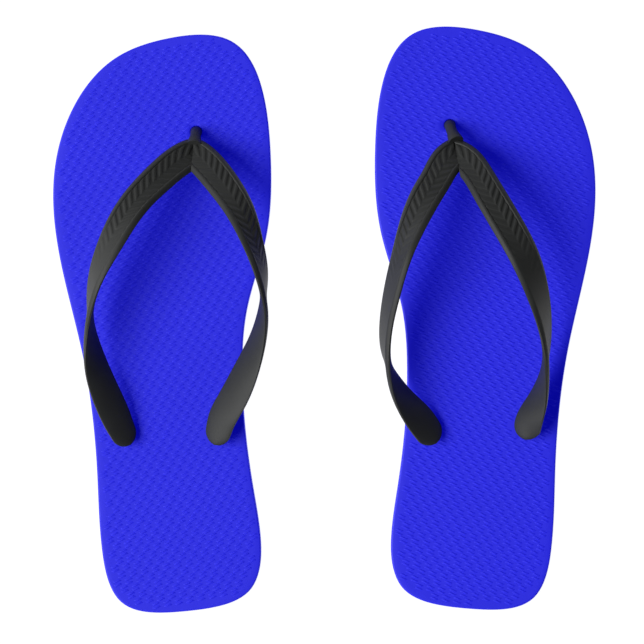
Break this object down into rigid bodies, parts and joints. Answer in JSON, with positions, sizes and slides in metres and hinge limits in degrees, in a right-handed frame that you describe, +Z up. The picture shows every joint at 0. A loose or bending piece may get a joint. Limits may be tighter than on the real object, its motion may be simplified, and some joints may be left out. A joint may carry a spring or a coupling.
{
  "type": "flip flops",
  "caption": "Pair of flat rubber flip flops with layered soles and a moulded Y-shaped toe-post strap plugged through each sole.",
  "frame": {"origin": "on the ground, midway between the two shoes and midway along the pair's length", "axes": "+Y towards the toes, +Z up, +X to the wearer's right"},
  "size_m": [0.2534, 0.2745, 0.0497],
  "materials": {
    "footbed": "matt blue rubber sheet with low embossed nubs",
    "midsole": "matt blue expanded rubber",
    "outsole": "matt blue rubber with a grooved tread",
    "strap": "satin black moulded rubber with chevron relief on the front of the arms"
  },
  "bodies": {
    "left_forefoot": {"left_footbed_fore": "footbed", "left_midsole_fore": "midsole", "left_outsole_fore": "outsole", "left_strap": "strap"},
    "left_heel": {"left_footbed_heel": "footbed", "left_midsole_heel": "midsole", "left_outsole_heel": "outsole"},
    "right_forefoot": {"right_footbed_fore": "footbed", "right_midsole_fore": "midsole", "right_outsole_fore": "outsole", "right_strap": "strap"},
    "right_heel": {"right_footbed_heel": "footbed", "right_midsole_heel": "midsole", "right_outsole_heel": "outsole"}
  },
  "joints": [
    {"name": "left_flex", "type": "hinge", "parent": "left_forefoot", "child": "left_heel", "pos_m": [-0.07579, 0.04299, 0.015], "axis": [-0.9829, -0.1839, 0], "range_deg": [0, 40], "stiffness_Nm_per_rad": 0.5, "deforming": ["left_strap"]},
    {"name": "right_lift", "type": "slide", "parent": "left_forefoot", "child": "right_forefoot", "axis": [0, 0, 1], "range_m": [0, 0.1]},
    {"name": "right_flex", "type": "hinge", "parent": "right_forefoot", "child": "right_heel", "pos_m": [0.07579, 0.04569, 0.015], "axis": [-0.9829, 0.1839, 0], "range_deg": [0, 40], "stiffness_Nm_per_rad": 0.5, "deforming": ["right_strap"]}
  ]
}
